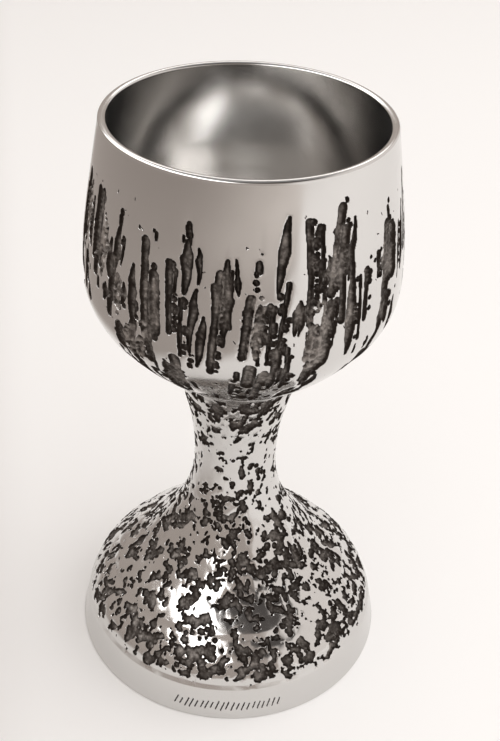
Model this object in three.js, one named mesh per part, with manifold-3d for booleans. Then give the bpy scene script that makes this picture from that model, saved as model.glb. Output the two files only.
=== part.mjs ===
// A goblet of polished cast metal: a hollow bowl with upright gouges, on a stem that
// flares into a domed foot with a pitted skin. Both castings are turned round one axis.
// Millimetres, +Z up. The origin is the centre of the foot's underside.
import * as THREE from 'three';
import { mergeVertices } from 'three/addons/utils/BufferGeometryUtils.js';
import Module from 'manifold-3d';

// Driving sizes
const HEIGHT = 160;
const SEAM_Z = 91;
const SEAM_RADIUS = 17.5;
const RIM_RADIUS = 34.75;
const LIP_WIDTH = 1.9;
const LIP_ROUND = 0.6;
const BELLY_RADIUS = 39.4;
const BELLY_Z = 122;
const NECK_RADIUS = 11.4;
const NECK_Z = 64;
const FOOT_RADIUS = 44.1;
const FOOT_RING = 3.7;
const BAND_TOP_RADIUS = 42.2;
const BAND_TOP_Z = 9.5;
const STEP_RADIUS = 34.5;
const STEP_Z = 21.4;
const FLOOR_Z = 94.6;
const CAVITY_TOP_Z = 46;
const FACETS = 40;

// Carving
const BOWL_SEED = 90210;
const FOOT_SEED = 41177;
const GOUGE_DEPTH = 1.05;
const PIT_DEPTH = 0.75;
const GOUGE_PITCH = 2.7;
const CUTTER_RISE = 1.5;
const CUTTER_FLARE = 1.6;
const CUTTER_FLOOR = 0.7;
const CUTTER_TAPER = 0.8;
const STATION_PITCH = 4;
const PATCH_SHARE = 0.45;
const BOWL_ROWS = [
  { clusters: 16, top: [7, 20], length: [15, 31] },
  { clusters: 11, top: [37, 43], length: [10, 17] },
  { clusters: 9, top: [55, 58], length: [9, 13] },
];
const FOOT_ROWS = [
  { from: 8, to: 38, step: 10, spacing: 16, share: 0.6 },
  { from: 46, to: 76, step: 7.5, spacing: 14, share: 0.66 },
  { from: 85, to: 86, step: 2, spacing: 13, share: 0.85 },
];

// Outlines run from the top of each casting down its outside, as [radius, height]
const rimZ = HEIGHT - LIP_ROUND;
const innerRim = RIM_RADIUS - LIP_WIDTH;

const bowlOutside = smooth([
  [RIM_RADIUS, rimZ], [36.45, 149], [38.1, 138.5], [39.3, 128], [BELLY_RADIUS, BELLY_Z - 4.4],
  [36.4, 109.5], [30.9, 102.4], [24.4, 96.1], [SEAM_RADIUS, SEAM_Z],
], 12);

const bowlInside = smooth([
  [innerRim, rimZ], [34, 149], [35.4, 138.5], [36.5, 128], [36.5, 118], [33.4, 110],
  [27.8, 103.4], [20.5, 98], [10.5, 95.2], [0, FLOOR_Z],
], 8);

const stemOutside = smooth([
  [SEAM_RADIUS, SEAM_Z], [14.4, 82], [12.35, 73], [NECK_RADIUS, NECK_Z], [11.8, 55], [13.9, 46.5],
  [18.4, 38.2], [24.9, 29.8], [31.2, 24.2], [STEP_RADIUS, STEP_Z],
], 12);

const beltOutside = smooth([
  [STEP_RADIUS, STEP_Z], [37.7, 18], [40.6, 13.8], [BAND_TOP_RADIUS, BAND_TOP_Z],
], 3);

const footInside = smooth([
  [FOOT_RADIUS - FOOT_RING, 0], [39.3, 7], [36.4, 13.2], [30.2, 19.8], [22.8, 26.8],
  [16, 34.4], [9, 42], [0, CAVITY_TOP_Z],
], 7);

const footOutside = [...stemOutside, ...beltOutside.slice(1), [FOOT_RADIUS, 0]];

function smooth(points, steps) {
  const curve = new THREE.SplineCurve(points.map(([r, z]) => new THREE.Vector2(r, z)));
  return curve.getPoints(steps).map((p) => [p.x, p.y]);
}

// Part of the lip's rounded edge about a centre radius, at the given degrees
function lipEdge(centre, degrees) {
  return degrees.map((turn) => {
    const a = THREE.MathUtils.degToRad(turn);
    return [centre + LIP_ROUND * Math.cos(a), rimZ + LIP_ROUND * Math.sin(a)];
  });
}

function turned(outline) {
  const points = outline.map(([r, z]) => new THREE.Vector2(r, z)).reverse();
  return new THREE.LatheGeometry(points, FACETS).rotateX(Math.PI / 2);
}

// The same small generator gives the same carving each time
function lehmer(seed) {
  let state = seed;
  return () => {
    state = (state * 16807) % 2147483647;
    return state / 2147483647;
  };
}

// Upright marks round the bowl: broad eroded patches, and narrow gouges alone or in pairs
function bowlMarks() {
  const random = lehmer(BOWL_SEED);
  const between = (low, high) => low + (high - low) * random();
  const marks = [];
  for (const row of BOWL_ROWS) {
    for (let k = 0; k < row.clusters; k += 1) {
      const turn = (k + between(0.25, 0.75)) / row.clusters;
      const top = between(...row.top);
      const reach = between(...row.length);
      const lean = between(-0.07, 0.17);
      const patch = random() < PATCH_SHARE;
      const count = patch ? 1 : 1 + Math.floor(between(0, 1.7));
      for (let i = 0; i < count; i += 1) {
        const halfLength = (reach * between(0.7, 1)) / 2;
        const down = top + halfLength + (i * reach) / 5;
        marks.push({
          angle: 2 * Math.PI * turn + (i * GOUGE_PITCH) / pointAt(bowlOutside, down).r,
          down,
          halfLength,
          halfWidth: patch ? between(2.3, 3.4) : between(1.1, 1.6),
          lean,
          depth: GOUGE_DEPTH * between(0.85, 1.1),
        });
      }
    }
  }
  return marks;
}

// Short pits scattered over the stem, the dome and the belt of the foot
function footMarks() {
  const random = lehmer(FOOT_SEED);
  const between = (low, high) => low + (high - low) * random();
  const marks = [];
  for (const row of FOOT_ROWS) {
    for (let ring = row.from; ring <= row.to; ring += row.step) {
      const around = Math.round((2 * Math.PI * pointAt(footOutside, ring).r) / row.spacing);
      for (let k = 0; k < around; k += 1) {
        const mark = {
          angle: (2 * Math.PI * (k + between(0.1, 0.9))) / around,
          down: ring + between(-2, 2),
          halfLength: between(2.4, 4.6),
          halfWidth: between(1.7, 3),
          lean: between(-0.9, 0.9),
          depth: PIT_DEPTH * between(0.8, 1.2),
        };
        if (random() < row.share) marks.push(mark);
      }
    }
  }
  return marks;
}

// Point of an outline at a length down it, with the outward normal
function pointAt(outline, length) {
  let left = Math.max(length, 0);
  for (let i = 1; i < outline.length; i += 1) {
    const [r0, z0] = outline[i - 1];
    const [r1, z1] = outline[i];
    const run = Math.hypot(r1 - r0, z1 - z0);
    if (left <= run || i === outline.length - 1) {
      const t = left / run;
      return {
        r: r0 + (r1 - r0) * t,
        z: z0 + (z1 - z0) * t,
        nr: (z0 - z1) / run,
        nz: (r1 - r0) / run,
      };
    }
    left -= run;
  }
  return null;
}

// A cutter that follows the skin: four corners at each station, narrower at its floor and ends
function cutter(outline, mark) {
  const stations = Math.max(3, Math.round(mark.halfLength / STATION_PITCH) + 1);
  const section = [
    [-CUTTER_FLARE, CUTTER_RISE],
    [CUTTER_FLARE, CUTTER_RISE],
    [CUTTER_FLOOR, -mark.depth],
    [-CUTTER_FLOOR, -mark.depth],
  ];
  const corners = [];
  for (let i = 0; i < stations; i += 1) {
    const t = (2 * i) / (stations - 1) - 1;
    const p = pointAt(outline, mark.down + mark.halfLength * t * Math.cos(mark.lean));
    const angle = mark.angle - (mark.halfLength * t * Math.sin(mark.lean)) / p.r;
    const half = mark.halfWidth * Math.sqrt(1 - CUTTER_TAPER * t * t);
    for (const [across, out] of section) {
      const r = p.r + p.nr * out;
      const wide = angle + (across * half) / p.r;
      corners.push(r * Math.sin(wide), -r * Math.cos(wide), p.z + p.nz * out);
    }
  }
  const faces = [0, 1, 2, 0, 2, 3];
  for (let i = 0; i < stations - 1; i += 1) {
    for (let side = 0; side < 4; side += 1) {
      const a = 4 * i + side;
      const b = 4 * i + ((side + 1) % 4);
      faces.push(a, a + 4, b, b, a + 4, b + 4);
    }
  }
  const last = 4 * (stations - 1);
  faces.push(last, last + 2, last + 1, last, last + 3, last + 2);
  const geometry = new THREE.BufferGeometry();
  geometry.setAttribute('position', new THREE.Float32BufferAttribute(corners, 3));
  geometry.setIndex(faces);
  return geometry;
}

const wasm = await Module();
wasm.setup();

function toSolid(geometry) {
  const bare = geometry.clone().deleteAttribute('normal').deleteAttribute('uv');
  const merged = mergeVertices(bare, 1e-4);
  const index = merged.index.array;
  const faces = [];
  for (let i = 0; i < index.length; i += 3) {
    const [a, b, c] = [index[i], index[i + 1], index[i + 2]];
    if (a !== b && b !== c && c !== a) faces.push(a, b, c);
  }
  return new wasm.Manifold(new wasm.Mesh({
    numProp: 3,
    vertProperties: new Float32Array(merged.attributes.position.array),
    triVerts: new Uint32Array(faces),
  }));
}

function carved(outline, skin, marks) {
  let solid = toSolid(turned(outline));
  for (const mark of marks) {
    solid = solid.subtract(toSolid(cutter(skin, mark)));
  }
  const cut = solid.getMesh();
  const geometry = new THREE.BufferGeometry();
  geometry.setAttribute('position', new THREE.Float32BufferAttribute(cut.vertProperties, 3));
  geometry.setIndex([...cut.triVerts]);
  return geometry;
}

function piece(name, geometry, material) {
  const mesh = new THREE.Mesh(geometry, material);
  mesh.name = name;
  return mesh;
}

const metal = { metalness: 1, roughness: 0.24 };
const bowlMetal = new THREE.MeshStandardMaterial({ color: 0xb9b1aa, ...metal });
const footMetal = new THREE.MeshStandardMaterial({ color: 0xb4aca5, ...metal });

const bowlOutline = [
  [0, FLOOR_Z],
  ...bowlInside.slice(0, -1).reverse(),
  ...lipEdge(innerRim + LIP_ROUND, [150, 120, 90]),
  ...lipEdge(RIM_RADIUS - LIP_ROUND, [90, 60, 30]),
  ...bowlOutside,
  [0, SEAM_Z],
];
const footOutline = [[0, SEAM_Z], ...footOutside, ...footInside];

const group = new THREE.Group();
group.add(piece('bowl', carved(bowlOutline, bowlOutside, bowlMarks()), bowlMetal));
group.add(piece('stem_and_foot', carved(footOutline, footOutside, footMarks()), footMetal));

export default group;
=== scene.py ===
"""Looks of a cast metal goblet: a gouged bowl on a pitted stem and foot, on a pale studio floor.

Lengths are in millimetres until a mesh is made, and angles run from the front, -Y, towards +X.
"""
import math

import bpy
import numpy as np
from mathutils import Matrix, Vector


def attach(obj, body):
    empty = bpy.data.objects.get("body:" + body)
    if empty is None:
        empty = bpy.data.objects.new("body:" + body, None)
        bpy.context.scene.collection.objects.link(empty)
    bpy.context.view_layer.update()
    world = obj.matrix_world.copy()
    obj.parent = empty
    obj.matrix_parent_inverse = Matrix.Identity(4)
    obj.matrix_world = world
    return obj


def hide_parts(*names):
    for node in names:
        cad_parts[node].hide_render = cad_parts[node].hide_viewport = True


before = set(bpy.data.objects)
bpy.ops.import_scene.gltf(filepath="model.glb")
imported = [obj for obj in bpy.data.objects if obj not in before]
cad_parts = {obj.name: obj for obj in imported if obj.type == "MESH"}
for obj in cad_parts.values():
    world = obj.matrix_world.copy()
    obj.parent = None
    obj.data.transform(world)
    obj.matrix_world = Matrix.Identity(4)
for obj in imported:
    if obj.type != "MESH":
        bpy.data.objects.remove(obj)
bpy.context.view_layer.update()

MM = 0.001
TURN = 2 * math.pi

# Driving sizes, as in the solids
HEIGHT = 160.0
SEAM_Z = 91.0
SEAM_RADIUS = 17.5
RIM_RADIUS = 34.75
LIP_WIDTH = 1.9
LIP_ROUND = 0.6
BELLY_RADIUS = 39.4
BELLY_Z = 122.0
NECK_RADIUS = 11.4
NECK_Z = 64.0
FOOT_RADIUS = 44.1
FOOT_RING = 3.7
BAND_TOP_RADIUS = 42.2
BAND_TOP_Z = 9.5
STEP_RADIUS = 34.5
STEP_Z = 21.4
FLOOR_Z = 94.6
CAVITY_TOP_Z = 46.0
RIM_Z = HEIGHT - LIP_ROUND
INNER_RIM = RIM_RADIUS - LIP_WIDTH

# Outlines from the top down, as (radius, height)
BOWL_OUTSIDE = [
    (RIM_RADIUS, RIM_Z), (36.45, 149), (38.1, 138.5), (39.3, 128), (BELLY_RADIUS, BELLY_Z - 4.4),
    (36.4, 109.5), (30.9, 102.4), (24.4, 96.1), (SEAM_RADIUS, SEAM_Z),
]
BOWL_INSIDE = [
    (INNER_RIM, RIM_Z), (34, 149), (35.4, 138.5), (36.5, 128), (36.5, 118), (33.4, 110),
    (27.8, 103.4), (20.5, 98), (10.5, 95.2), (0, FLOOR_Z),
]
STEM_OUTSIDE = [
    (SEAM_RADIUS, SEAM_Z), (14.4, 82), (12.35, 73), (NECK_RADIUS, NECK_Z), (11.8, 55),
    (13.9, 46.5), (18.4, 38.2), (24.9, 29.8), (31.2, 24.2), (STEP_RADIUS, STEP_Z),
]
BELT_OUTSIDE = [
    (STEP_RADIUS, STEP_Z), (37.7, 18), (40.6, 13.8), (BAND_TOP_RADIUS, BAND_TOP_Z),
]
FOOT_INSIDE = [
    (FOOT_RADIUS - FOOT_RING, 0), (39.3, 7), (36.4, 13.2), (30.2, 19.8), (22.8, 26.8),
    (16, 34.4), (9, 42), (0, CAVITY_TOP_Z),
]

# Carving that the solids share. A bowl row is its clusters round the bowl, their tops and their
# lengths. A foot row is its first and last ring, the step between rings, the spacing and the share.
BOWL_SEED = 90210
FOOT_SEED = 41177
GOUGE_PITCH = 2.7
PATCH_SHARE = 0.45
BOWL_ROWS = [(16, (7, 20), (15, 31)), (11, (37, 43), (10, 17)), (9, (55, 58), (9, 13))]
FOOT_ROWS = [(8, 38, 10, 16, 0.6), (46, 76, 7.5, 14, 0.66), (85, 86, 2, 13, 0.85)]

# Relief of the finer carving, which is in this file alone: how deep it goes, how fast its walls
# fall, how its polished edges sink, and the grains, ridges and worn patches of its floors
BOWL_DEPTH = 1.05
FOOT_DEPTH = 0.8
WALL_REACH = 0.3
EDGE_SINK = 0.07
EDGE_REACH = 1.0
BOWL_RAGGED = 0.35
FOOT_RAGGED = 0.6
RAGGED_PITCHES = (1.6, 0.6)
FOOT_WAVE = 0.09
WAVE_PITCH = 6.0
GRAIN_PITCH = 0.7
GRAIN_RISE = 0.32
NET_PITCH = 1.25
NET_RISE = 0.6
RIDGE_REACH = 0.8
MOTTLE_PITCH = 2.3
FOOT_WORN = 0.75
BOWL_NOISE_SEED = 11
FOOT_NOISE_SEED = 23

# More marks on the bowl. A fill row is its marks, the first and last length down, and their
# lengths. A front mark is its angle, length down, half length, half width and lean.
BOWL_DRAW_SEED = 7331
FILL_ROWS = [
    (13, 15, 29, (12, 22)), (16, 31, 44, (11, 20)), (19, 47, 57, (8, 15)), (14, 61, 69, (8, 13)),
]
FRONT_MARKS = [
    (0.07, 33, 8.5, 2.5, 0.1), (0.12, 56, 5.5, 1.5, 0.05), (0.4, 24, 7, 1.4, 0.06),
    (0.47, 44, 8, 3, 0.1), (-0.33, 20, 6, 1.3, 0),
]
LOWEST_COMB = 52
LOOSE_DROPS = 130
FINE_NICKS = 240
NICK_WIDTH = 0.12

# Pits of the foot: cells and shares of the noise, and the level that it passes at lengths down
FOOT_DRAW_SEED = 6007
PIT_SEED = 31
PIT_NOISE = [(2.2, 0.45), (1.2, 0.37), (0.6, 0.18)]
PIT_LEVEL = [
    (0, 0.46), (9, 0.49), (15, 0.55), (22, 0.575), (40, 0.575), (46, 0.55), (56, 0.53), (73, 0.525),
    (77, 0.6), (79.5, 0.58), (82, 0.5), (89.5, 0.5), (91.3, 0.63), (93, 1.0),
]
PIT_FALL = 6.5
SPECKS = 420
SPECK_BAND = (3, 90)

# Chains of drops: first and last length down, how many, their sizes and how upright they are
WANDER_ZONES = [
    (3, 14, 12, (0.5, 0.9), 0.3), (14, 40, 12, (0.4, 0.7), 0.6), (40, 52, 16, (0.5, 0.9), 0.6),
    (52, 64, 22, (0.6, 1.1), 0.6), (64, 76, 34, (0.6, 1.1), 0.6), (81, 88, 46, (0.8, 1.3), 0.9),
]

# Step back of the belt under the dome, at lengths down, and the strip there without specks
LEDGE = [(77, 0), (78.6, 0.45), (84, 0.22), (89.5, 0.1), (91.2, 0.3), (92.8, 0)]
LEDGE_ROUND = 0.5
LEDGE_STRIP = (77, 79.5)

# Row of shallow strokes on the front of the band
STROKES = 21
STROKES_FROM, STROKES_TO = -0.33, 0.37
STROKE_PLACE = 0.45
STROKE_HALF = (1.0, 1.6)
STROKE_WIDTH = 0.15
STROKE_LEAN = 0.35
STROKE_DEPTH = 0.26
STROKE_WALL = 0.12

# Meshes
EDGE_ROUND = 0.35
COLUMNS = 288
FINE_PITCH = 0.2
SHEET_BUDGET = 146000
POLISHED_DEPTH = 0.03

# Metal: colours, the depths between which a hollow darkens, and scales of noise for each metre
POLISHED = (0.655, 0.645, 0.632)
PATINA = (0.035, 0.028, 0.024)
RUBBED = (0.41, 0.38, 0.355)
# Painted shade: the colour the polish darkens to in a ring at the seam between bowl and stem
SEAM_SHADE = (0.33, 0.32, 0.31)
HOLLOW_RAMP = (0.01, 0.07)
# Reach, stretch and scale of that painted seam shade
SEAM_SHADE_REACH = (4.5 * MM, 2 * MM)
SEAM_SHADE_STRETCH = (0.06, 0.06, 1)
SEAM_SHADE_SCALE = 2600
STAIN_SCALE = 900
SMEAR_SCALE = 70
BUMP_SCALE = 1800
BUMP_HEIGHT = 0.2 * MM
POLISH_ROUGHNESS = (0.12, 0.19)
INNER_ROUGHNESS = 0.03
HOLLOW_ROUGHNESS = 0.6

# Floor, in metres: a sheet's two soft edges into painted shade, each across a slope, and the fades
# of painted shade and light on the table
FLOOR_SIZE = 6
SHEET_SHADE_EDGES = [((1, 0.2, 0), -0.13, -0.055), ((0.9, 1, 0), -0.24, -0.14)]
TABLE_SHADE_FADES = [("X", -0.8, 0.5), ("Y", -0.45, -0.8)]
SHEET_COLOUR = (0.95, 0.94, 0.93)
# Darker and paler table colours: painted shade and painted light
TABLE_SHADE = (0.46, 0.42, 0.395)
TABLE_LIGHT = (0.8, 0.755, 0.72)

# Light of the room
ROOM_LEFT = (0.48, 0.42, 0.38)
ROOM_RIGHT = (0.93, 0.87, 0.83)
CEILING = (0.42, 0.41, 0.4)
DIM_PATCH = (0.1, 0.09, 0.085)

# Camera: place in metres, lens and sensor in millimetres, and pitch, yaw and roll in degrees
CAMERA_PLACE = Vector((0, -0.2516, 0.2665))
CAMERA_LENS = 56.43
CAMERA_SENSOR = 36
CAMERA_TURNS = (35.359, 0.693, 2.815)


def spline(points, steps):
    """The solids' uniform Catmull-Rom curve through the points, as an array."""
    knots = np.array(points, float)
    last = len(knots) - 1
    made = []
    for step in range(steps + 1):
        place = last * step / steps
        i = min(int(place), last - 1)
        w = place - i
        before, here, after = knots[max(i - 1, 0)], knots[i], knots[i + 1]
        v0 = (after - before) / 2
        v1 = (knots[min(i + 2, last)] - here) / 2
        cubic = 2 * here - 2 * after + v0 + v1
        square = -3 * here + 3 * after - 2 * v0 - v1
        made.append(cubic * w**3 + square * w**2 + v0 * w + here)
    return np.array(made)


class Draw:
    """The solids' small random generator."""

    def __init__(self, seed):
        self.state = seed

    def __call__(self):
        self.state = (self.state * 16807) % 2147483647
        return self.state / 2147483647

    def between(self, low, high):
        return low + (high - low) * self()


def radius_at(outline, length):
    """Radius of a coarse outline at a length down it."""
    runs = np.hypot(*np.diff(outline, axis=0).T)
    return float(np.interp(length, np.r_[0, np.cumsum(runs)], outline[:, 0]))


def bowl_marks():
    """The solids' marks round the bowl: broad patches, and narrow gouges alone or in pairs."""
    draw = Draw(BOWL_SEED)
    coarse = spline(BOWL_OUTSIDE, 12)
    marks = []
    for clusters, tops, lengths in BOWL_ROWS:
        for k in range(clusters):
            turn = (k + draw.between(0.25, 0.75)) / clusters
            top = draw.between(*tops)
            reach = draw.between(*lengths)
            lean = draw.between(-0.07, 0.17)
            patch = draw() < PATCH_SHARE
            count = 1 if patch else 1 + int(draw.between(0, 1.7))
            for i in range(count):
                half = reach * draw.between(0.7, 1) / 2
                down = top + half + i * reach / 5
                angle = TURN * turn + i * GOUGE_PITCH / radius_at(coarse, down)
                wide = draw.between(2.3, 3.4) if patch else draw.between(1.1, 1.6)
                draw()
                marks.append((angle, down, half, wide, lean))
    return marks


def foot_marks():
    """The solids' pits on the stem, the dome and the belt of the foot."""
    draw = Draw(FOOT_SEED)
    belt = spline(BELT_OUTSIDE, 3)
    coarse = np.vstack([spline(STEM_OUTSIDE, 12), belt[1:], [[FOOT_RADIUS, 0]]])
    marks = []
    for first, last, step, spacing, share in FOOT_ROWS:
        ring = first
        while ring <= last:
            around = math.floor(TURN * radius_at(coarse, ring) / spacing + 0.5)
            for k in range(around):
                angle = TURN * (k + draw.between(0.1, 0.9)) / around
                down = ring + draw.between(-2, 2)
                half = draw.between(2.4, 4.6)
                wide = draw.between(1.7, 3)
                lean = draw.between(-0.9, 0.9)
                draw()
                if draw() < share:
                    marks.append((angle, down, half, wide, lean))
            ring += step
    return marks


class Outline:
    """A run of curves as a dense table of length, radius and height."""

    def __init__(self, *curves, steps=300):
        runs = [spline(curve, steps) for curve in curves]
        points = np.vstack([runs[0]] + [run[1:] for run in runs[1:]])
        self.r, self.z = points.T
        self.length = np.r_[0, np.cumsum(np.hypot(*np.diff(points, axis=0).T))]

    def at(self, length):
        """Radius and height at lengths down the outline."""
        return np.interp(length, self.length, self.r), np.interp(length, self.length, self.z)

    def normal(self, length, reach=0.25):
        """Outward normal, as radial and upright parts, averaged over a short reach."""
        r0, z0 = self.at(length - reach)
        r1, z1 = self.at(length + reach)
        run = np.hypot(r1 - r0, z1 - z0)
        return (z0 - z1) / run, (r1 - r0) / run


class Skin:
    """Signed distances to the carved shapes on an unrolled casting, negative inside them.

    Rows run down the outline and columns run round it. The hollows, the patches of ridges on
    their floors and the fine strokes each have a field of their own.
    """

    def __init__(self, outline, top, bottom, columns, pitch):
        self.outline = outline
        self.length = np.linspace(top, bottom, int((bottom - top) / pitch) + 1)
        self.pitch = self.length[1] - self.length[0]
        self.radius, self.height = outline.at(self.length)
        self.columns = columns
        self.step = TURN / columns
        self.distance = np.full((len(self.length), columns), 9.0, np.float32)
        self.net = self.distance.copy()
        self.stroke = self.distance.copy()

    def round_radius(self, down):
        return float(self.outline.at(down)[0])

    def cut(self, angle, down, half=0.0, top=0.5, bottom=None, lean=0.0, bow=0.0, field=None):
        """Adds a round-ended slot: half its length, and its half width at its top and bottom."""
        bottom = top if bottom is None else bottom
        margin = max(top, bottom) + 1.0
        first = max(int((down - half - margin - self.length[0]) / self.pitch), 0)
        last = int((down + half + margin - self.length[0]) / self.pitch) + 2
        last = min(last, len(self.length))
        if last <= first:
            return
        radius = self.radius[first:last]
        side = (margin + abs(math.sin(lean)) * half + abs(bow)) / radius.min()
        start = math.floor((angle - side) / self.step)
        stop = min(math.ceil((angle + side) / self.step) + 1, start + self.columns)
        columns = np.arange(start, stop)
        x = (columns * self.step - angle)[None, :] * radius[:, None]
        y = (self.length[first:last] - down)[:, None]
        along = (-math.sin(lean), math.cos(lean))
        t = np.clip((x * along[0] + y * along[1]) / max(half, 1e-6), -1, 1)
        dx = x - (t * half * along[0] + bow * (1 - t * t))
        dy = y - t * half * along[1]
        distance = np.hypot(dx, dy) - (top + (bottom - top) * (t + 1) / 2)
        rows = (self.distance if field is None else field)[first:last]
        where = columns % self.columns
        rows[:, where] = np.minimum(rows[:, where], distance)

    def project(self, points):
        """Lengths down the outline of points near it, and their depths below it."""
        radius, height = np.hypot(points[:, 0], points[:, 1]), points[:, 2]
        length = np.interp(-height, -self.outline.z, self.outline.length)
        for _ in range(8):
            r, z = self.outline.at(length)
            out, up = self.outline.normal(length)
            length = length + (radius - r) * up - (height - z) * out
        r, z = self.outline.at(length)
        return length, (r - radius) * out + (z - height) * up

    def sample(self, values, turn, length):
        """Values between the grid points, of numbers or of vectors."""
        row = np.clip((length - self.length[0]) / self.pitch, 0, len(self.length) - 1.001)
        column = turn / self.step
        i, j = row.astype(int), column.astype(int)
        shape = (-1,) + (1,) * (values.ndim - 2)
        u, v = (row - i).reshape(shape), (column - j).reshape(shape)
        here, after = j % self.columns, (j + 1) % self.columns
        upper = values[i, here] * (1 - v) + values[i, after] * v
        lower = values[i + 1, here] * (1 - v) + values[i + 1, after] * v
        return upper * (1 - u) + lower * u

    def points(self):
        """Places of the grid on the uncut surface, and the outward normals there."""
        angle = np.arange(self.columns) * self.step
        round_x, round_y = np.sin(angle), -np.cos(angle)
        out, up = self.outline.normal(self.length)
        spots = [np.outer(self.radius, round_x), np.outer(self.radius, round_y)]
        spots.append(np.repeat(self.height[:, None], self.columns, 1))
        normals = [np.outer(out, round_x), np.outer(out, round_y)]
        normals.append(np.repeat(up[:, None], self.columns, 1))
        return np.stack(spots, -1), np.stack(normals, -1)


class Lattice:
    """Repeatable noise in space, from a block of random numbers that repeats."""

    SIZE = 32

    def __init__(self, seed):
        random = np.random.RandomState(seed)
        block = (self.SIZE, self.SIZE, self.SIZE)
        self.value = random.rand(*block).astype(np.float32)
        self.spot = random.rand(*block, 3).astype(np.float32)

    def cell(self, spots, size):
        place = spots / size
        corner = np.floor(place).astype(np.int32)
        return corner, (place - corner).astype(np.float32)

    def smooth(self, spots, size):
        """Smooth noise from 0 to 1, with cells of the size."""
        corner, part = self.cell(spots, size)
        part = part * part * (3 - 2 * part)
        total = np.zeros(spots.shape[:-1], np.float32)
        for step in np.ndindex(2, 2, 2):
            i, j, k = np.moveaxis((corner + step) % self.SIZE, -1, 0)
            total += np.prod(np.where(step, part, 1 - part), axis=-1) * self.value[i, j, k]
        return total

    def grains(self, spots, size):
        """Distance to the nearest of scattered points, in cells of the size."""
        corner, part = self.cell(spots, size)
        nearest = np.full(spots.shape[:-1], 9.0, np.float32)
        for step in np.ndindex(3, 3, 3):
            shift = np.array(step) - 1
            i, j, k = np.moveaxis((corner + shift) % self.SIZE, -1, 0)
            away = self.spot[i, j, k] + shift.astype(np.float32) - part
            nearest = np.minimum(nearest, (away * away).sum(-1))
        return np.sqrt(nearest)


def beads(skin, draw, angle, down, half, edge, lean, size, share):
    """Round bites that scallop an upright mark, on the side that the edge's sign gives."""
    radius = skin.round_radius(down)
    y = -half
    while y < half:
        bite = size * draw.between(0.7, 1.2)
        if draw() < share:
            taper = math.sqrt(max(0, 1 - 0.7 * (y / half) ** 2))
            x = edge * taper + draw.between(-0.3, 0.3) * size
            skin.cut(angle + (x - math.sin(lean) * y) / radius, down + y, top=bite)
        y += bite * draw.between(1.4, 2.2)


def leaf(skin, draw, angle, down, half, wide, lean):
    """A bowed mark that swells from narrow ends to its full width."""
    radius = skin.round_radius(down)
    widest = draw.between(-0.4, 0.5) * half
    bow = draw.between(-0.4, 0.4)
    for start, stop, top, bottom in ((-half, widest, 0.35, 1), (widest, half, 1, 0.35)):
        y = (start + stop) / 2
        turn = angle - math.sin(lean) * y / radius
        skin.cut(turn, down + y, (stop - start) / 2, wide * top, wide * bottom, lean, bow)


def broad(skin, draw, angle, down, half, wide, lean):
    """A broad flat-floored hollow with one straight side, the other one bitten out, and a tail."""
    radius = skin.round_radius(down)
    side = 1 if draw() < 0.3 else -1
    slot = wide * draw.between(0.42, 0.55)
    x = side * (wide - slot)
    skin.cut(angle + x / radius, down, half - slot, slot, slot * draw.between(0.8, 1.1), lean)
    lobe = wide * draw.between(0.5, 0.66)
    reach = half * draw.between(0.35, 0.7)
    y = draw.between(-0.6, 0.6) * (half - reach)
    x = -side * (wide - lobe) - math.sin(lean) * y
    skin.cut(angle + x / radius, down + y, reach - lobe * 0.5, lobe * 0.8, lobe, lean)
    beads(skin, draw, angle, down + y, reach * 1.15, -side * wide * 0.8, lean, 0.85, 0.8)
    beads(skin, draw, angle, down, half * 0.9, side * wide * 0.95, lean, 0.6, 0.2)
    if draw() < 0.45:
        tail = half * draw.between(0.4, 0.7)
        turn = angle + (side * wide * 0.3 - math.sin(lean) * half) / radius
        leaf(skin, draw, turn, down + half, tail, slot * 0.9, lean)
    return side


def comb(skin, draw, angle, down, half, wide, lean):
    """A broad hollow, scalloped on both sides, whose floor is a net of thin ridges."""
    radius = skin.round_radius(down)
    side = broad(skin, draw, angle, down, half, wide, lean)
    beads(skin, draw, angle, down, half * 0.9, wide * 0.85, lean, 0.8, 0.7)
    beads(skin, draw, angle, down, half * 0.9, -wide * 0.85, lean, 0.8, 0.5)
    turn = angle - side * wide * 0.3 / radius
    skin.cut(turn, down, half * 0.8, wide * 0.75, lean=lean, field=skin.net)


def gouge(skin, draw, angle, down, half, wide, lean):
    """A narrow upright mark: a leaf, or a straight slot with a column of bites beside it."""
    if draw() < 0.5:
        leaf(skin, draw, angle, down, half, wide * draw.between(1, 1.3), lean)
        return
    slot = wide * draw.between(0.6, 0.85)
    skin.cut(angle, down, half - slot, slot, slot * draw.between(0.6, 1.1), lean)
    side = 1 if draw() < 0.65 else -1
    if half > 3:
        beads(skin, draw, angle, down, half * 0.9, side * (slot + 0.65), lean, 0.85, 0.6)


def chain(skin, draw, angle, down, count, way):
    """A run of drops that trails off from the end of a mark."""
    radius = skin.round_radius(down)
    x = 0
    for _ in range(count):
        drop = draw.between(0.4, 0.9)
        down += way * drop * draw.between(0.9, 1.6)
        skin.cut(angle + x / radius, down, max(draw.between(-0.6, 1.1), 0), drop)
        down += way * drop * draw.between(0.9, 1.6)
        x += draw.between(-0.7, 0.7)


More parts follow.
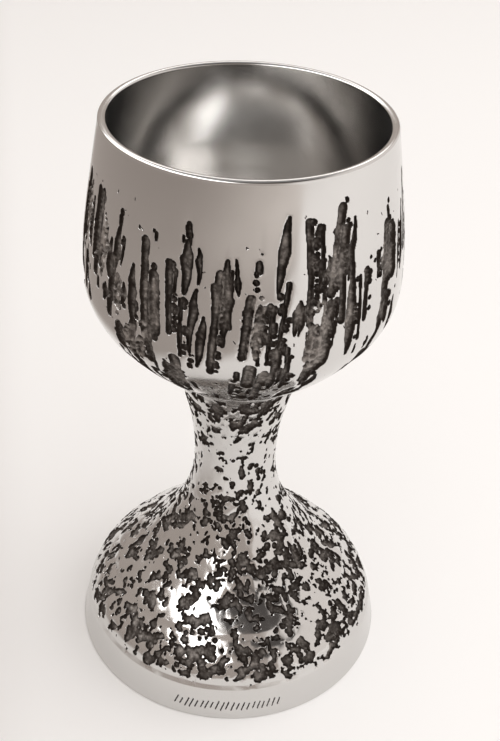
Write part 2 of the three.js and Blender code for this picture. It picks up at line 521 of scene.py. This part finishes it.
def cluster(skin, draw, mark):
    """One mark, with drops at its ends and smaller gouges beside it."""
    angle, down, half, wide, lean = mark
    radius = skin.round_radius(down)
    main = gouge
    if wide > 2:
        main = comb if down < LOWEST_COMB and draw() < 0.5 else broad
    main(skin, draw, angle, down, half, wide, lean)
    slant = math.sin(lean) * half
    if draw() < 0.5:
        x = slant + draw.between(-0.6, 0.6) * wide
        chain(skin, draw, angle + x / radius, down - half, int(draw.between(1, 5)), -1)
    if draw() < 0.25:
        x = -slant + draw.between(-0.4, 0.4) * wide
        chain(skin, draw, angle + x / radius, down + half, int(draw.between(1, 4)), 1)
    for side, most in ((1, 2.6), (-1, 1.9)):
        x = wide
        for _ in range(int(draw.between(0.2, most))):
            reach = half * draw.between(0.3, 0.75)
            slot = draw.between(0.6, 1.3)
            x += slot + draw.between(-0.2, 1.2)
            y = down + draw.between(-1.3, 1.3) * (half - reach) + draw.between(-2, 2)
            turn = lean + draw.between(-0.05, 0.05)
            gouge(skin, draw, angle + side * x / radius, y, reach, slot, turn)
            x += slot


def carve_bowl(skin):
    """The gouged belt of the bowl: the solids' marks, more between them, loose drops and nicks."""
    draw = Draw(BOWL_DRAW_SEED)
    for mark in bowl_marks():
        cluster(skin, draw, mark)
    for mark in FRONT_MARKS:
        cluster(skin, draw, mark)
    for count, first, last, lengths in FILL_ROWS:
        for k in range(count):
            angle = TURN * (k + draw.between(0.1, 0.9)) / count
            down = draw.between(first, last)
            half = draw.between(*lengths) / 2
            lean = draw.between(-0.07, 0.17)
            wide = draw.between(0.9, 1.5) if draw() < 0.45 else draw.between(2.2, 3.8)
            cluster(skin, draw, (angle, down, half, wide, lean))
    for _ in range(LOOSE_DROPS):
        down = draw.between(13, 70)
        half = max(draw.between(-1, 1.4), 0)
        skin.cut(draw.between(0, TURN), down, half, draw.between(0.25, 0.6))
    for _ in range(FINE_NICKS):
        down = draw.between(7, 72)
        lean = draw.between(-1.5, 1.5)
        angle, half = draw.between(0, TURN), draw.between(0, 0.5)
        skin.cut(angle, down, half, NICK_WIDTH, lean=lean, field=skin.stroke)


def pit(skin, draw, angle, down, half, wide, lean):
    """A ragged pit of merged drops."""
    radius = skin.round_radius(down)
    for _ in range(int(3 + half * wide * 0.75)):
        turn, spread = draw.between(0, TURN), math.sqrt(draw())
        x, y = spread * math.cos(turn) * wide, spread * math.sin(turn) * half
        across = x * math.cos(lean) - y * math.sin(lean)
        along = x * math.sin(lean) + y * math.cos(lean)
        skin.cut(angle + across / radius, down + along, top=draw.between(0.45, 1.05))


def wander(skin, draw, angle, down, count, size, rise):
    """A chain of merged drops that wanders, more upright for a larger rise."""
    radius = skin.round_radius(down)
    turn = draw.between(0, TURN)
    x = y = 0
    for _ in range(count):
        drop = size * draw.between(0.7, 1.3)
        skin.cut(angle + x / radius, down + y, top=drop)
        turn += draw.between(-1.1, 1.1)
        x += math.cos(turn) * drop * 1.1 * (1 - rise / 2)
        y += math.sin(turn) * drop * 1.1 * (1 + rise / 2)


# Turns the noise off the axes, and stretches its pits upright
TILT = np.array(Matrix.Rotation(0.6, 3, "Z") @ Matrix.Rotation(0.5, 3, "X")) @ np.diag((1, 1, 0.75))


def erode(skin, seed):
    """Irregular pits where noise passes a level that changes down the foot."""
    spots, _ = skin.points()
    spots = spots @ TILT
    lattice = Lattice(seed)
    height = sum(share * lattice.smooth(spots, size) for size, share in PIT_NOISE)
    level = np.interp(skin.length, *zip(*PIT_LEVEL))[:, None]
    skin.distance = np.minimum(skin.distance, PIT_FALL * (level - height))


def strokes(skin, draw):
    """A row of short strokes across the front of the band."""
    band = math.hypot(FOOT_RADIUS - BAND_TOP_RADIUS, BAND_TOP_Z)
    middle = skin.outline.length[-1] - STROKE_PLACE * band
    for k in range(STROKES):
        angle = STROKES_FROM + (STROKES_TO - STROKES_FROM) * (k + draw.between(0.4, 0.6)) / STROKES
        down = middle + draw.between(-0.3, 0.3)
        half = draw.between(*STROKE_HALF)
        skin.cut(angle, down, half, STROKE_WIDTH, lean=STROKE_LEAN, field=skin.stroke)


def carve_foot(skin):
    """The pitted skin of the stem, dome and belt, and the row of strokes on the band."""
    draw = Draw(FOOT_DRAW_SEED)
    for mark in foot_marks():
        pit(skin, draw, *mark)
    erode(skin, PIT_SEED)
    for first, last, count, sizes, rise in WANDER_ZONES:
        for _ in range(count):
            angle, down = draw.between(0, TURN), draw.between(first, last)
            wander(skin, draw, angle, down, int(draw.between(2, 6)), draw.between(*sizes), rise)
    first, last = SPECK_BAND
    for _ in range(SPECKS):
        down = math.sqrt(draw.between(first**2, last**2))
        angle, half = draw.between(0, TURN), max(draw.between(-0.6, 0.6), 0)
        if not LEDGE_STRIP[0] < down < LEDGE_STRIP[1]:
            skin.cut(angle, down, half, draw.between(0.2, 0.45), lean=draw.between(-0.8, 0.8))
    strokes(skin, draw)


def softened(values, reach):
    """The values averaged over a square of cells."""
    count = 2 * reach + 1
    for axis in (0, 1):
        values = sum(np.roll(values, shift, axis) for shift in range(-reach, reach + 1)) / count
    return values


def ledge(skin):
    """How far the belt of the foot steps back under the dome, and dips above the band."""
    if skin.height[-1] > SEAM_Z:
        return np.zeros(len(skin.length))
    reach = round(LEDGE_ROUND / skin.pitch)
    steps = np.pad(np.interp(skin.length, *zip(*LEDGE)), reach, "edge")
    count = 2 * reach + 1
    return np.convolve(steps, np.full(count, 1 / count), "valid")


def hollows(skin, deepest, ragged, wave, worn, seed):
    """Depth of the carving, how far its patina is rubbed off, and the sink of its edges."""
    spots, _ = skin.points()
    lattice = Lattice(seed)
    coarse, fine = (lattice.smooth(spots, pitch) - 0.5 for pitch in RAGGED_PITCHES)
    distance = skin.distance + ragged * coarse + 0.4 * ragged * fine
    inside = np.maximum(-distance, 0)
    sink = EDGE_SINK * np.clip(1 - np.maximum(distance, 0) / EDGE_REACH, 0, 1) ** 3
    sink += wave * lattice.smooth(spots, WAVE_PITCH) + ledge(skin)[:, None]

    # Walls fall quickly to a grainy floor, which has a net of ridges in places
    grain = np.clip(1 - 1.3 * lattice.grains(spots, GRAIN_PITCH), 0, 1)
    net = np.clip(4 * lattice.grains(spots, NET_PITCH) - 1.7, 0, 1) * np.clip(-2 * skin.net, 0, 1)
    depth = deepest * (1 - np.exp(-inside / WALL_REACH))
    depth = depth * (1 - GRAIN_RISE * grain) * (1 - NET_RISE * net)

    # Patina is rubbed off narrow ridges between hollows, off the nets and off patches of floor
    around = softened(depth, round(RIDGE_REACH / skin.pitch)) / deepest
    ridge = np.clip(4 * (around - depth / deepest), 0, 1) * np.clip(4 * around - 2, 0, 1)
    mottle = np.clip(1.6 * lattice.smooth(spots, MOTTLE_PITCH) - 0.25, 0, 1) * (0.6 + 0.8 * fine)
    floor = np.clip((inside - 0.4) / 0.45, 0, 1) * (mottle + 0.4 * grain)
    rub = worn * np.maximum(np.maximum(0.8 * ridge, 0.9 * net), floor)
    stroke = STROKE_DEPTH * np.clip(-skin.stroke / STROKE_WALL, 0, 1)
    return np.maximum(np.maximum(depth, stroke), 0) + sink, rub, sink


def lie(spots, normals, sink):
    """Normals of the polished surface, sunk a little beside its marks."""
    surface = spots - normals * sink[..., None]
    round_step = np.roll(surface, -1, 1) - np.roll(surface, 1, 1)
    down_step = np.gradient(surface, axis=0)
    facing_out = np.cross(down_step, round_step)
    facing_out *= np.sign((facing_out * normals).sum(-1, keepdims=True))
    return facing_out / np.linalg.norm(facing_out, axis=-1, keepdims=True)


def sheet_faces(rows, columns):
    """Two triangles for each cell of a grid that closes on itself round the axis."""
    upper = np.arange(rows - 1)[:, None] * columns
    here = np.arange(columns)[None, :]
    after = (here + 1) % columns
    a, b = upper + here, upper + columns + here
    c, d = upper + columns + after, upper + after
    return np.stack([a, b, c, a, c, d], -1).reshape(-1, 3)


def bare_mesh(name, points, faces):
    """A triangle mesh from arrays, in the points' own units."""
    mesh = bpy.data.meshes.new(name)
    mesh.vertices.add(len(points))
    mesh.vertices.foreach_set("co", points.astype(np.float32).ravel())
    mesh.loops.add(3 * len(faces))
    mesh.loops.foreach_set("vertex_index", faces.astype(np.int32).ravel())
    mesh.polygons.add(len(faces))
    mesh.polygons.foreach_set("loop_start", np.arange(0, 3 * len(faces), 3, dtype=np.int32))
    mesh.update(calc_edges=True)
    return mesh


def thinned(points, faces, budget):
    """The same sheet with about the budget of triangles, as arrays."""
    piece = bpy.data.objects.new("sheet", bare_mesh("sheet", points, faces))
    bpy.context.collection.objects.link(piece)
    piece.modifiers.new("thin", "DECIMATE").ratio = min(budget / len(faces), 1)
    made = piece.evaluated_get(bpy.context.evaluated_depsgraph_get()).to_mesh()
    points = np.empty(3 * len(made.vertices), np.float32)
    faces = np.empty(len(made.loops), np.int32)
    made.vertices.foreach_get("co", points)
    made.loops.foreach_get("vertex_index", faces)
    used = piece.data
    bpy.data.objects.remove(piece)
    bpy.data.meshes.remove(used)
    return points.reshape(-1, 3).astype(float), faces.reshape(-1, 3)


def open_points(faces, count):
    """Indices of the points on the open edges of a sheet."""
    ends = np.sort(np.concatenate([faces[:, :2], faces[:, 1:], faces[:, ::2]]), axis=1)
    keys, uses = np.unique(ends[:, 0].astype(np.int64) * count + ends[:, 1], return_counts=True)
    single = keys[uses == 1]
    return np.unique(np.concatenate([single // count, single % count]))


def turn_of(points):
    """Angle of points round the axis, from 0 at the front."""
    return np.arctan2(points[:, 0], -points[:, 1]) % TURN


class Shell:
    """A closed surface, put together ring by ring along a casting's section."""

    def __init__(self):
        self.points, self.normals, self.depth, self.rub = [], [], [], []
        self.faces = []
        self.count = 0
        self.open = None
        self.open_turn = None

    def add(self, points, normals, depth=None, rub=None):
        """Adds points and gives the index of the first."""
        first = self.count
        nothing = np.zeros(len(points))
        self.points.append(points)
        self.normals.append(normals)
        self.depth.append(nothing if depth is None else depth)
        self.rub.append(nothing if rub is None else rub)
        self.count += len(points)
        return first

    def stitch(self, ring, turn):
        """Triangles from the open ring to the next one, both sorted round the axis."""
        if self.open is not None:
            upper, lower = self.open, ring
            above = np.append(self.open_turn, self.open_turn[0] + TURN)
            below = np.append(turn, turn[0] + TURN)
            faces = []
            i = j = 0
            while i < len(upper) or j < len(lower):
                a, b = upper[i % len(upper)], lower[j % len(lower)]
                if j == len(lower) or (i < len(upper) and above[i + 1] <= below[j + 1]):
                    i += 1
                    faces.append((a, b, upper[i % len(upper)]))
                else:
                    j += 1
                    faces.append((a, b, lower[j % len(lower)]))
            self.faces.append(np.array(faces))
        self.open, self.open_turn = ring, turn

    def rings(self, section, columns):
        """Turned rings through section points, each a radius, height and normal."""
        turn = np.arange(columns) * TURN / columns
        x, y = np.sin(turn), -np.cos(turn)
        for radius, height, out, up in section:
            points = np.stack([radius * x, radius * y, np.full(columns, height)], -1)
            normals = np.stack([out * x, out * y, np.full(columns, up)], -1)
            first = self.add(points, normals)
            self.stitch(first + np.arange(columns), turn)

    def pole(self, height, up):
        """The point where the section meets the axis, at its start or its end."""
        point = self.add(np.array([[0, 0, height]]), np.array([[0, 0, up]]))
        ring = np.array([point])
        self.stitch(ring, np.zeros(1))

    def sheet(self, skin, depth, rub, sink, budget):
        """The carved skin, thinned, between the open ring and the next one."""
        spots, normals = skin.points()
        surface = lie(spots, normals, sink)
        carved = (spots - normals * depth[..., None]).reshape(-1, 3)
        points, faces = thinned(carved, sheet_faces(*depth.shape), budget)
        turn = turn_of(points)
        length, below = skin.project(points)
        normals = skin.sample(surface, turn, length)
        carved_depth = below - skin.sample(sink, turn, length)
        first = self.add(points, normals, carved_depth, skin.sample(rub, turn, length))
        edge = open_points(faces, len(points))
        edge = edge[np.argsort(turn[edge])]
        high = points[edge, 2] > points[:, 2].mean()
        upper, lower = edge[high], edge[~high]
        self.stitch(first + upper, turn[upper])
        self.faces.append(first + faces)
        self.open, self.open_turn = first + lower, turn[lower]


def arc(centre, radius, first, last, steps):
    """Section points round part of a circle, between angles in degrees, facing out."""
    turn = np.radians(np.linspace(first, last, steps + 1))
    out, up = np.cos(turn), np.sin(turn)
    return np.stack([centre[0] + radius * out, centre[1] + radius * up, out, up], -1)


def lip(steps):
    """Section points over the rim, from its inner edge to its outer one, facing out."""
    turn = np.linspace(math.pi, 0, steps + 1)
    half = LIP_WIDTH / 2
    out, up = np.cos(turn), np.sin(turn)
    run = np.hypot(out / half, up / LIP_ROUND)
    radius, height = RIM_RADIUS - half + half * out, RIM_Z + LIP_ROUND * up
    return np.stack([radius, height, out / half / run, up / LIP_ROUND / run], -1)


def section(outline, first, last, steps):
    """Section points along part of an outline."""
    length = np.linspace(first, last, steps + 1)
    return np.stack([*outline.at(length), *outline.normal(length)], -1)


def rounded(corner, before, after, radius, steps=5):
    """Section points round a corner, between the facing angles before and after it, in degrees."""
    half = math.radians(after - before) / 2
    middle = math.radians(before + after) / 2
    away = radius / math.cos(half)
    centre = (corner[0] - away * math.cos(middle), corner[1] - away * math.sin(middle))
    return arc(centre, radius, before, after, steps)


def whole(faces):
    """The faces whose corners are three different points."""
    a, b, c = faces.T
    return faces[(a != b) & (b != c) & (c != a)]


def casting(name, replaced, shell):
    """The finished piece of a shell, in metres, with its own normals at each corner."""
    points = np.concatenate(shell.points)
    skin_normals = np.concatenate(shell.normals)
    depth = np.concatenate(shell.depth)
    faces = whole(np.concatenate(shell.faces))
    a, b, c = (points[faces[:, i]] for i in range(3))
    flat = np.cross(b - a, c - a)
    polished = depth[faces].max(axis=1) < POLISHED_DEPTH
    rough = np.zeros_like(points)
    for i in range(3):
        for axis in range(3):
            rough[:, axis] += np.bincount(faces[~polished, i], flat[~polished, axis], len(points))
    rough /= np.maximum(np.linalg.norm(rough, axis=1, keepdims=True), 1e-9)
    corners = np.where(polished[:, None, None], skin_normals[faces], rough[faces])

    mesh = bare_mesh(name, points * MM, faces)
    mesh.polygons.foreach_set("use_smooth", np.ones(len(faces), bool))
    mesh.normals_split_custom_set(corners.reshape(-1, 3))
    inner = (points[:, :2] * skin_normals[:, :2]).sum(axis=1) < 0
    for label, values in (("depth", depth), ("rub", np.concatenate(shell.rub)), ("inner", inner)):
        attribute = mesh.attributes.new(label, "FLOAT", "POINT")
        attribute.data.foreach_set("value", values.astype(np.float32))
    piece = bpy.data.objects.new(name, mesh)
    bpy.context.collection.objects.link(piece)
    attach(piece, "root")
    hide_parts(replaced)
    return piece


def facing(outline, length):
    """Angle in degrees that an outline faces at a length."""
    out, up = outline.normal(length)
    return math.degrees(math.atan2(up, out))


def make_bowl():
    outside = Outline(BOWL_OUTSIDE)
    inside = Outline(BOWL_INSIDE[::-1])
    end = outside.length[-1]
    top, bottom = 5.5, end - 2.0
    shell = Shell()
    shell.pole(FLOOR_Z, 1)
    shell.rings(section(inside, 1.5, inside.length[-1] - 0.4, 46), COLUMNS)
    shell.rings(lip(14), COLUMNS)
    shell.rings(section(outside, 0.4, top - 0.6, 6), COLUMNS)
    columns = int(TURN * BELLY_RADIUS / FINE_PITCH)
    skin = Skin(outside, top, bottom, columns, FINE_PITCH)
    carve_bowl(skin)
    relief = hollows(skin, BOWL_DEPTH, BOWL_RAGGED, wave=0, worn=1, seed=BOWL_NOISE_SEED)
    shell.sheet(skin, *relief, SHEET_BUDGET)
    shell.rings(section(outside, bottom + 0.5, end - 0.6, 2), COLUMNS)
    shell.rings(rounded((SEAM_RADIUS, SEAM_Z), facing(outside, end), -90, EDGE_ROUND), COLUMNS)
    shell.rings([(SEAM_RADIUS / 2, SEAM_Z, 0, -1)], COLUMNS)
    shell.pole(SEAM_Z, -1)
    return casting("cast_bowl", "bowl", shell)


def make_foot():
    outside = Outline(STEM_OUTSIDE, BELT_OUTSIDE, [(BAND_TOP_RADIUS, BAND_TOP_Z), (FOOT_RADIUS, 0)])
    inside = Outline(FOOT_INSIDE)
    end = outside.length[-1]
    top, bottom = 2.0, end - 1.2
    shell = Shell()
    shell.pole(SEAM_Z, 1)
    shell.rings([(SEAM_RADIUS / 2, SEAM_Z, 0, 1)], COLUMNS)
    shell.rings(rounded((SEAM_RADIUS, SEAM_Z), 90, facing(outside, 0.3), EDGE_ROUND), COLUMNS)
    shell.rings(section(outside, 1.0, top - 0.5, 1), COLUMNS)
    columns = int(TURN * FOOT_RADIUS / FINE_PITCH)
    skin = Skin(outside, top, bottom, columns, FINE_PITCH)
    carve_foot(skin)
    relief = hollows(skin, FOOT_DEPTH, FOOT_RAGGED, FOOT_WAVE, FOOT_WORN, FOOT_NOISE_SEED)
    shell.sheet(skin, *relief, SHEET_BUDGET)
    foot_edge = facing(outside, end - 0.3)
    shell.rings(rounded((FOOT_RADIUS, 0), foot_edge, -90, EDGE_ROUND), COLUMNS)
    ring_edge = (FOOT_RADIUS - FOOT_RING, 0)
    shell.rings(rounded(ring_edge, -90, facing(inside, 0.3), EDGE_ROUND), COLUMNS)
    shell.rings(section(inside, 1.0, inside.length[-1] - 1.5, 30), COLUMNS)
    shell.pole(CAVITY_TOP_Z, -1)
    return casting("cast_stem_and_foot", "stem_and_foot", shell)


bowl = make_bowl()
foot = make_foot()


def link(tree, source, target):
    """Joins two sockets, each given as a node and a name."""
    tree.links.new(source[0].outputs[source[1]], target[0].inputs[target[1]])


def node(tree, kind, **values):
    """A shader node with its own settings."""
    made = tree.nodes.new("ShaderNode" + kind)
    for name, value in values.items():
        setattr(made, name, value)
    return made


def ramp(tree, source, low, high, first=0.0, last=1.0):
    """The source mapped smoothly from the range low to high onto first to last."""
    made = node(tree, "MapRange", interpolation_type="SMOOTHSTEP")
    values = {"From Min": low, "From Max": high, "To Min": first, "To Max": last}
    for name, value in values.items():
        made.inputs[name].default_value = value
    link(tree, source, (made, "Value"))
    return made, "Result"


def combine(tree, operation, *sources, clamp=False):
    """An operation on numbers, each a value or a node's output."""
    made = node(tree, "Math", operation=operation, use_clamp=clamp)
    for i, source in enumerate(sources):
        if isinstance(source, tuple):
            link(tree, source, (made, i))
        else:
            made.inputs[i].default_value = source
    return made, "Value"


def times(tree, source, factors, operation="MULTIPLY", result="Vector"):
    """A vector with each part multiplied by a factor."""
    made = node(tree, "VectorMath", operation=operation)
    made.inputs[1].default_value = factors
    link(tree, source, (made, 0))
    return made, result


def dot(tree, source, axis):
    """How far a vector reaches along an axis."""
    return times(tree, source, axis, "DOT_PRODUCT", "Value")


def blend(tree, factor, first, second):
    """A mix of two colours, each a colour or a node's output."""
    made = node(tree, "Mix", data_type="RGBA")
    link(tree, factor, (made, "Factor"))
    for name, colour in (("A", first), ("B", second)):
        socket = next(s for s in made.inputs if s.name == name and s.type == "RGBA")
        if len(colour) == 2:
            tree.links.new(colour[0].outputs[colour[1]], socket)
        else:
            socket.default_value = (*colour, 1)
    result = next(i for i, s in enumerate(made.outputs) if s.type == "RGBA")
    return made, result


def clouds(tree, source, scale, detail):
    """Noise in space at a scale."""
    made = node(tree, "TexNoise")
    made.inputs["Scale"].default_value = scale
    made.inputs["Detail"].default_value = detail
    link(tree, source, (made, "Vector"))
    return made, "Fac"


def painted_seam_shade(tree, place):
    """How far painted shade darkens the metal close to the seam, broken into streaks by noise."""
    axes = node(tree, "SeparateXYZ")
    link(tree, place, (axes, "Vector"))
    away = combine(tree, "SUBTRACT", (axes, "Z"), SEAM_Z * MM)
    near = ramp(tree, combine(tree, "ABSOLUTE", away), *SEAM_SHADE_REACH)
    seam_streaks = clouds(tree, times(tree, place, SEAM_SHADE_STRETCH), SEAM_SHADE_SCALE, 2)
    return combine(tree, "MULTIPLY", near, ramp(tree, seam_streaks, 0.35, 0.65))


def metal(name):
    """Polished pewter, with painted shade close to the seam, and dark patina in its hollows that is
    rubbed off their floors.
    """
    material = bpy.data.materials.new(name)
    material.use_nodes = True
    tree = material.node_tree
    shader = tree.nodes["Principled BSDF"]
    shader.inputs["Metallic"].default_value = 1.0
    place = (node(tree, "TexCoord"), "Object")
    labels = ("depth", "rub", "inner")
    depth, rub, inner = ((node(tree, "Attribute", attribute_name=label), "Fac") for label in labels)

    # Polish, darkened by painted shade close to the seam, and mottled patina in the hollows
    hollow = ramp(tree, depth, *HOLLOW_RAMP)
    stain = ramp(tree, clouds(tree, place, STAIN_SCALE, 3), 0.35, 0.65, 0.6, 1.3)
    patina = blend(tree, combine(tree, "MULTIPLY", rub, stain, clamp=True), PATINA, RUBBED)
    # Painted shade darkens the polish close to the seam
    polished = blend(tree, painted_seam_shade(tree, place), POLISHED, SEAM_SHADE)
    link(tree, blend(tree, hollow, polished, patina), (shader, "Base Color"))

    # Smears of wiping on the polish, a duller inside, and rough grainy hollows
    smear = ramp(tree, clouds(tree, place, SMEAR_SCALE, 4), 0.3, 0.7, *POLISH_ROUGHNESS)
    polish = combine(tree, "MULTIPLY_ADD", inner, INNER_ROUGHNESS, smear)
    rough = node(tree, "Mix", data_type="FLOAT")
    link(tree, hollow, (rough, 0))
    link(tree, polish, (rough, 2))
    rough.inputs[3].default_value = HOLLOW_ROUGHNESS
    link(tree, (rough, 0), (shader, "Roughness"))
    bump = node(tree, "Bump")
    bump.inputs["Distance"].default_value = BUMP_HEIGHT
    link(tree, clouds(tree, place, BUMP_SCALE, 3), (bump, "Height"))
    link(tree, hollow, (bump, "Strength"))
    link(tree, (bump, "Normal"), (shader, "Normal"))
    return material


bowl.data.materials.append(metal("bowl_metal"))
foot.data.materials.append(metal("foot_metal"))


def make_floor():
    """A pale sheet on a greyer table, with soft edges to the front and left: the table's grey and
    its fades are painted shade and painted light.
    """
    bpy.ops.mesh.primitive_plane_add(size=FLOOR_SIZE)
    floor = bpy.context.object
    floor.name = "floor"
    paper_and_shade = bpy.data.materials.new("floor_paper_and_shade")
    paper_and_shade.use_nodes = True
    tree = paper_and_shade.node_tree
    place = (node(tree, "TexCoord"), "Object")
    axes = node(tree, "SeparateXYZ")
    link(tree, place, (axes, "Vector"))
    # Soft edges of the sheet into painted shade
    shade_edges = [ramp(tree, dot(tree, place, slope), low, high) for slope, low, high in SHEET_SHADE_EDGES]
    shade_fades = [ramp(tree, (axes, name), low, high) for name, low, high in TABLE_SHADE_FADES]
    sheet, lit_share = (combine(tree, "MULTIPLY", *pair) for pair in (shade_edges, shade_fades))
    # The table's grey, fading between painted shade and painted light
    shaded_table = blend(tree, lit_share, TABLE_SHADE, TABLE_LIGHT)
    matt = tree.nodes["Principled BSDF"]
    link(tree, blend(tree, sheet, shaded_table, SHEET_COLOUR), (matt, "Base Color"))
    matt.inputs["Roughness"].default_value = 0.9
    matt.inputs["Specular IOR Level"].default_value = 0.2
    floor.data.materials.append(paper_and_shade)


def direction(azimuth, elevation):
    """Unit vector towards an azimuth from the front, towards +X, and an elevation."""
    turn, rise = math.radians(azimuth), math.radians(elevation)
    level = math.cos(rise)
    return Vector((math.sin(turn) * level, -math.cos(turn) * level, math.sin(rise)))


def light_room():
    """Room light: a dim warm left, a pale right, a dull ceiling and a dark patch above the front."""
    world = bpy.data.worlds.new("studio")
    bpy.context.scene.world = world
    world.use_nodes = True
    tree = world.node_tree
    sky = (node(tree, "TexCoord"), "Generated")
    level = node(tree, "VectorMath", operation="NORMALIZE")
    link(tree, times(tree, sky, (1, 1, 0)), (level, 0))
    pale = ramp(tree, dot(tree, (level, "Vector"), direction(93, 0)), 0.45, 0.6)
    axes = node(tree, "SeparateXYZ")
    link(tree, sky, (axes, "Vector"))
    high = ramp(tree, (axes, "Z"), 0.72, 0.88)
    dim = ramp(tree, dot(tree, sky, direction(38, 61)), 0.84, 0.94)
    walls = blend(tree, pale, ROOM_LEFT, ROOM_RIGHT)
    room = blend(tree, high, walls, CEILING)
    background = tree.nodes["Background"]
    link(tree, blend(tree, dim, room, DIM_PATCH), (background, "Color"))
    background.inputs["Strength"].default_value = 1.0


def softbox(name, azimuth, elevation, distance, width, height, radiance, reflected=True):
    """An area light that faces the goblet: the metal reflects it, or else it lights the floor."""
    lamp = bpy.data.lights.new(name, "AREA")
    lamp.shape = "RECTANGLE"
    lamp.size, lamp.size_y = width, height
    lamp.energy = radiance * math.pi * width * height
    box = bpy.data.objects.new(name, lamp)
    toward = direction(azimuth, elevation)
    box.location = Vector((0, 0, HEIGHT * MM / 2)) + distance * toward
    box.rotation_euler = toward.to_track_quat("Z", "Y").to_euler()
    box.visible_camera = False
    box.visible_glossy = reflected
    box.visible_diffuse = not reflected
    bpy.context.collection.objects.link(box)


def place_camera():
    """A camera at the photograph's angle."""
    pitch, yaw, roll = (math.radians(turn) for turn in CAMERA_TURNS)
    level = math.cos(pitch)
    forward = Vector((math.sin(yaw) * level, math.cos(yaw) * level, -math.sin(pitch)))
    right = forward.cross(Vector((0, 0, 1))).normalized()
    up = right.cross(forward)
    across = math.cos(roll) * right + math.sin(roll) * up
    above = -math.sin(roll) * right + math.cos(roll) * up
    camera = bpy.data.objects.new("camera", bpy.data.cameras.new("camera"))
    camera.data.lens = CAMERA_LENS
    camera.data.sensor_width = CAMERA_SENSOR
    turned_frame = Matrix((across, above, -forward)).transposed().to_4x4()
    camera.matrix_world = Matrix.Translation(CAMERA_PLACE) @ turned_frame
    bpy.context.collection.objects.link(camera)
    bpy.context.scene.camera = camera


make_floor()
light_room()
softbox("key", -75, 52, 0.9, 2.4, 0.45, 3.2)
softbox("back", 180, 42, 0.9, 0.7, 0.25, 1.8)
softbox("fill", 75, 60, 1.2, 2.4, 2.4, 1.25, reflected=False)
place_camera()
bpy.context.scene.view_settings.view_transform = "Standard"
